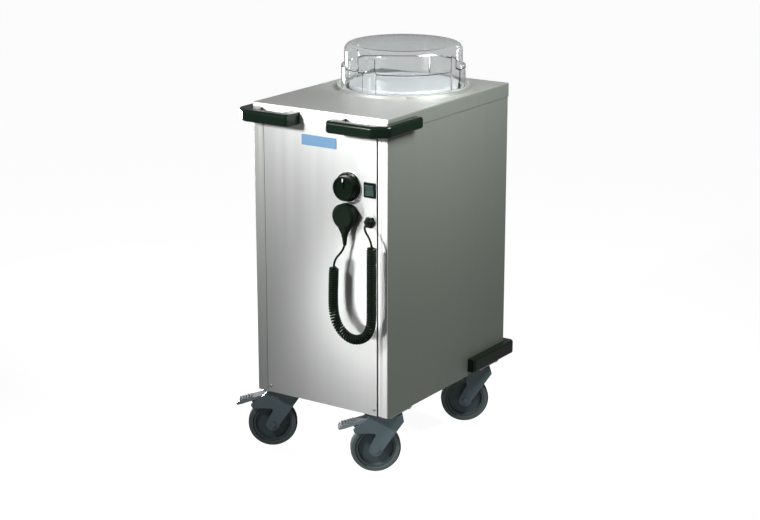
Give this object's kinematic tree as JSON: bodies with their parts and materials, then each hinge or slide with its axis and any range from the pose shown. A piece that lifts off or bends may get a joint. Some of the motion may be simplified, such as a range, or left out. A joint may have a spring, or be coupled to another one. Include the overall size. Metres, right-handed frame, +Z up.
{
  "type": "heated plate dispenser",
  "caption": "Free-standing heated plate dispenser: one sprung round well under a clear dome in a steel cabinet on swivel casters, with push handles and a curly mains cord.",
  "frame": {"origin": "on the floor, under the middle of the bounding box without the cord", "axes": "+Z up from the floor, -Y towards the front with the controls, +X to the right of someone facing the front"},
  "size_m": [0.4896, 0.636, 1.018],
  "materials": {
    "panel_steel": "brushed",
    "inner_steel": "satin",
    "platform_steel": "satin",
    "spring_steel": "satin",
    "zinc_steel": "zinc plated",
    "bright_trim": "polished",
    "clear_plastic": "clear moulded plastic",
    "handle_plastic": "fine grain",
    "knob_plastic": "semi-gloss",
    "inner_plastic": "matt",
    "lit_rocker": "translucent dark green",
    "cord_rubber": "matt",
    "plate_blue": "painted",
    "fork_plastic": "fine grain",
    "hub_plastic": "matt",
    "tyre": "matt grey"
  },
  "bodies": {
    "cabinet": {"side_panel_right": "panel_steel", "side_panel_left": "panel_steel", "back_panel": "panel_steel", "front_panel": "panel_steel", "top_cover": "panel_steel", "base_tray": "inner_steel", "push_handle_right": "handle_plastic", "push_handle_left": "handle_plastic", "rear_bumper_right": "handle_plastic", "rear_bumper_left": "handle_plastic", "well_tube": "inner_steel", "spring_ring": "inner_steel", "lift_springs": "spring_steel", "thermostat_body": "inner_plastic", "thermostat_bezel": "bright_trim", "switch_frame": "knob_plastic", "parking_socket": "knob_plastic", "mains_plug": "cord_rubber", "cable_gland": "knob_plastic", "cord_at_gland": "cord_rubber", "cord_at_plug": "cord_rubber", "curly_cord": "cord_rubber", "name_plate_blank": "plate_blue", "heater": "inner_steel", "terminal_box": "inner_plastic", "cross_bar": "inner_steel", "front_screws": "zinc_steel", "caster_bolts": "zinc_steel", "caster_plate_front_left": "zinc_steel", "caster_plate_front_right": "zinc_steel", "caster_plate_rear_left": "zinc_steel", "caster_plate_rear_right": "zinc_steel"},
    "dome": {"dome_cover": "clear_plastic"},
    "platform": {"platform_disc": "platform_steel", "platform_carrier": "inner_steel"},
    "knob": {"thermostat_knob": "knob_plastic"},
    "rocker": {"rocker": "lit_rocker"},
    "swivel_front_left": {"caster_fork_front_left": "fork_plastic", "axle_front_left": "zinc_steel"},
    "wheel_front_left": {"wheel_hub_front_left": "hub_plastic", "tyre_front_left": "tyre"},
    "pedal_front_left": {"brake_pedal_front_left": "fork_plastic"},
    "swivel_front_right": {"caster_fork_front_right": "fork_plastic", "axle_front_right": "zinc_steel"},
    "wheel_front_right": {"wheel_hub_front_right": "hub_plastic", "tyre_front_right": "tyre"},
    "pedal_front_right": {"brake_pedal_front_right": "fork_plastic"},
    "swivel_rear_left": {"caster_fork_rear_left": "fork_plastic", "axle_rear_left": "zinc_steel"},
    "wheel_rear_left": {"wheel_hub_rear_left": "hub_plastic", "tyre_rear_left": "tyre"},
    "swivel_rear_right": {"caster_fork_rear_right": "fork_plastic", "axle_rear_right": "zinc_steel"},
    "wheel_rear_right": {"wheel_hub_rear_right": "hub_plastic", "tyre_rear_right": "tyre"}
  },
  "joints": [
    {"name": "dome_lift", "type": "slide", "parent": "cabinet", "child": "dome", "axis": [0, 0, 1], "range_m": [0, 0.25]},
    {"name": "platform_slide", "type": "slide", "parent": "cabinet", "child": "platform", "axis": [0, 0, 1], "range_m": [-0.44, 0], "stiffness_N_per_m": 300, "springref_m": 0.15, "deforming": ["lift_springs"]},
    {"name": "knob_turn", "type": "hinge", "parent": "cabinet", "child": "knob", "pos_m": [0.1103, -0.269, 0.725], "axis": [0, 1, 0], "range_deg": [0, 270]},
    {"name": "rocker_tilt", "type": "hinge", "parent": "cabinet", "child": "rocker", "pos_m": [0.1713, -0.25835, 0.7255], "axis": [-1, 0, 0], "range_deg": [0, 16]},
    {"name": "swivel_turn_front_left", "type": "hinge", "parent": "cabinet", "child": "swivel_front_left", "pos_m": [-0.1322, -0.1955, 0.15], "axis": [0, 0, 1], "continuous": true},
    {"name": "wheel_spin_front_left", "type": "hinge", "parent": "swivel_front_left", "child": "wheel_front_left", "pos_m": [-0.1602, -0.2165, 0.0625], "axis": [0.6, -0.8, 0], "continuous": true},
    {"name": "pedal_press_front_left", "type": "hinge", "parent": "swivel_front_left", "child": "pedal_front_left", "pos_m": [-0.1594, -0.2159, 0.138], "axis": [0.6, -0.8, 0], "range_deg": [0, 16]},
    {"name": "swivel_turn_front_right", "type": "hinge", "parent": "cabinet", "child": "swivel_front_right", "pos_m": [0.1838, -0.1955, 0.15], "axis": [0, 0, 1], "continuous": true},
    {"name": "wheel_spin_front_right", "type": "hinge", "parent": "swivel_front_right", "child": "wheel_front_right", "pos_m": [0.1558, -0.2165, 0.0625], "axis": [0.6, -0.8, 0], "continuous": true},
    {"name": "pedal_press_front_right", "type": "hinge", "parent": "swivel_front_right", "child": "pedal_front_right", "pos_m": [0.1566, -0.2159, 0.138], "axis": [0.6, -0.8, 0], "range_deg": [0, 16]},
    {"name": "swivel_turn_rear_left", "type": "hinge", "parent": "cabinet", "child": "swivel_rear_left", "pos_m": [-0.1322, 0.2275, 0.15], "axis": [0, 0, 1], "continuous": true},
    {"name": "wheel_spin_rear_left", "type": "hinge", "parent": "swivel_rear_left", "child": "wheel_rear_left", "pos_m": [-0.1602, 0.2065, 0.0625], "axis": [0.6, -0.8, 0], "continuous": true},
    {"name": "swivel_turn_rear_right", "type": "hinge", "parent": "cabinet", "child": "swivel_rear_right", "pos_m": [0.1838, 0.2275, 0.15], "axis": [0, 0, 1], "continuous": true},
    {"name": "wheel_spin_rear_right", "type": "hinge", "parent": "swivel_rear_right", "child": "wheel_rear_right", "pos_m": [0.1558, 0.2065, 0.0625], "axis": [0.6, -0.8, 0], "continuous": true}
  ]
}
